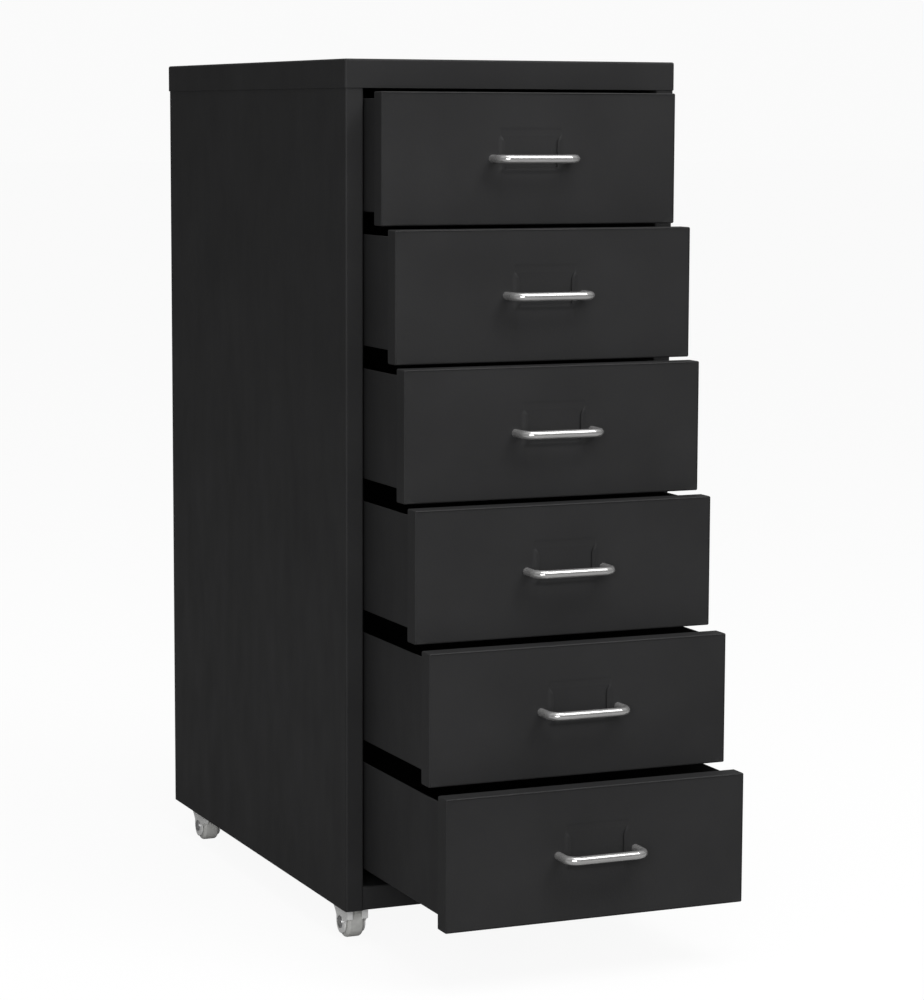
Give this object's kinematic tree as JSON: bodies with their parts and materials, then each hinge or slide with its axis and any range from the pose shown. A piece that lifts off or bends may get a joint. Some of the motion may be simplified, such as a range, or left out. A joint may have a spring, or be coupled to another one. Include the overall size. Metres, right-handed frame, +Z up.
{
  "type": "rolling pedestal cabinet",
  "caption": "Tall narrow steel office cabinet on swivel casters, with a stack of shallow drawers that have wire handles and label frames.",
  "frame": {"origin": "on the floor under the middle of the carcass, midway between its sides and between its front and back", "axes": "+X to the cabinet's right as seen from the front, the drawers open towards -Y, +Z up"},
  "size_m": [0.28, 0.6217, 0.69],
  "materials": {
    "carcass_paint": "satin powder coat",
    "front_paint": "satin powder coat",
    "tray_paint": "satin powder coat",
    "runner_paint": "satin powder coat",
    "handle_chrome": "polished nickel plate",
    "screw_steel": "zinc plated",
    "stem_steel": "zinc plated",
    "fork_paint": "light grey gloss",
    "axle_steel": "zinc plated",
    "wheel_plastic": "matte moulded nylon"
  },
  "bodies": {
    "carcass": {"left_side_panel": "carcass_paint", "right_side_panel": "carcass_paint", "back_panel": "carcass_paint", "top_cover": "carcass_paint", "base_pan": "carcass_paint", "back_screws": "screw_steel", "caster_nuts": "screw_steel", "runner_1_left": "runner_paint", "runner_1_right": "runner_paint", "runner_2_left": "runner_paint", "runner_2_right": "runner_paint", "runner_3_left": "runner_paint", "runner_3_right": "runner_paint", "runner_4_left": "runner_paint", "runner_4_right": "runner_paint", "runner_5_left": "runner_paint", "runner_5_right": "runner_paint", "runner_6_left": "runner_paint", "runner_6_right": "runner_paint", "caster_front_left_stem": "stem_steel", "caster_front_right_stem": "stem_steel", "caster_rear_left_stem": "stem_steel", "caster_rear_right_stem": "stem_steel"},
    "drawer_1": {"drawer_1_tray": "tray_paint", "drawer_1_front": "front_paint", "drawer_1_handle": "handle_chrome", "drawer_1_screws": "screw_steel"},
    "drawer_2": {"drawer_2_tray": "tray_paint", "drawer_2_front": "front_paint", "drawer_2_handle": "handle_chrome", "drawer_2_screws": "screw_steel"},
    "drawer_3": {"drawer_3_tray": "tray_paint", "drawer_3_front": "front_paint", "drawer_3_handle": "handle_chrome", "drawer_3_screws": "screw_steel"},
    "drawer_4": {"drawer_4_tray": "tray_paint", "drawer_4_front": "front_paint", "drawer_4_handle": "handle_chrome", "drawer_4_screws": "screw_steel"},
    "drawer_5": {"drawer_5_tray": "tray_paint", "drawer_5_front": "front_paint", "drawer_5_handle": "handle_chrome", "drawer_5_screws": "screw_steel"},
    "drawer_6": {"drawer_6_tray": "tray_paint", "drawer_6_front": "front_paint", "drawer_6_handle": "handle_chrome", "drawer_6_screws": "screw_steel"},
    "caster_front_left_swivel": {"caster_front_left_fork": "fork_paint", "caster_front_left_axle": "axle_steel"},
    "caster_front_left_roller": {"caster_front_left_wheel": "wheel_plastic"},
    "caster_front_right_swivel": {"caster_front_right_fork": "fork_paint", "caster_front_right_axle": "axle_steel"},
    "caster_front_right_roller": {"caster_front_right_wheel": "wheel_plastic"},
    "caster_rear_left_swivel": {"caster_rear_left_fork": "fork_paint", "caster_rear_left_axle": "axle_steel"},
    "caster_rear_left_roller": {"caster_rear_left_wheel": "wheel_plastic"},
    "caster_rear_right_swivel": {"caster_rear_right_fork": "fork_paint", "caster_rear_right_axle": "axle_steel"},
    "caster_rear_right_roller": {"caster_rear_right_wheel": "wheel_plastic"}
  },
  "joints": [
    {"name": "drawer_1_slide", "type": "slide", "parent": "carcass", "child": "drawer_1", "axis": [0, -1, 0], "range_m": [-0.034, 0.266]},
    {"name": "drawer_2_slide", "type": "slide", "parent": "carcass", "child": "drawer_2", "axis": [0, -1, 0], "range_m": [-0.062, 0.238]},
    {"name": "drawer_3_slide", "type": "slide", "parent": "carcass", "child": "drawer_3", "axis": [0, -1, 0], "range_m": [-0.08, 0.22]},
    {"name": "drawer_4_slide", "type": "slide", "parent": "carcass", "child": "drawer_4", "axis": [0, -1, 0], "range_m": [-0.102, 0.198]},
    {"name": "drawer_5_slide", "type": "slide", "parent": "carcass", "child": "drawer_5", "axis": [0, -1, 0], "range_m": [-0.13, 0.17]},
    {"name": "drawer_6_slide", "type": "slide", "parent": "carcass", "child": "drawer_6", "axis": [0, -1, 0], "range_m": [-0.162, 0.138]},
    {"name": "caster_front_left_swivel_turn", "type": "hinge", "parent": "carcass", "child": "caster_front_left_swivel", "pos_m": [-0.1235, -0.1785, 0.0275], "axis": [0, 0, 1], "continuous": true},
    {"name": "caster_front_left_wheel_spin", "type": "hinge", "parent": "caster_front_left_swivel", "child": "caster_front_left_roller", "pos_m": [-0.1235, -0.187, 0.0125], "axis": [1, 0, 0], "continuous": true},
    {"name": "caster_front_right_swivel_turn", "type": "hinge", "parent": "carcass", "child": "caster_front_right_swivel", "pos_m": [0.1235, -0.1785, 0.0275], "axis": [0, 0, 1], "continuous": true},
    {"name": "caster_front_right_wheel_spin", "type": "hinge", "parent": "caster_front_right_swivel", "child": "caster_front_right_roller", "pos_m": [0.1235, -0.187, 0.0125], "axis": [1, 0, 0], "continuous": true},
    {"name": "caster_rear_left_swivel_turn", "type": "hinge", "parent": "carcass", "child": "caster_rear_left_swivel", "pos_m": [-0.1235, 0.1785, 0.0275], "axis": [0, 0, 1], "continuous": true},
    {"name": "caster_rear_left_wheel_spin", "type": "hinge", "parent": "caster_rear_left_swivel", "child": "caster_rear_left_roller", "pos_m": [-0.1235, 0.17, 0.0125], "axis": [1, 0, 0], "continuous": true},
    {"name": "caster_rear_right_swivel_turn", "type": "hinge", "parent": "carcass", "child": "caster_rear_right_swivel", "pos_m": [0.1235, 0.1785, 0.0275], "axis": [0, 0, 1], "continuous": true},
    {"name": "caster_rear_right_wheel_spin", "type": "hinge", "parent": "caster_rear_right_swivel", "child": "caster_rear_right_roller", "pos_m": [0.1235, 0.17, 0.0125], "axis": [1, 0, 0], "continuous": true}
  ]
}
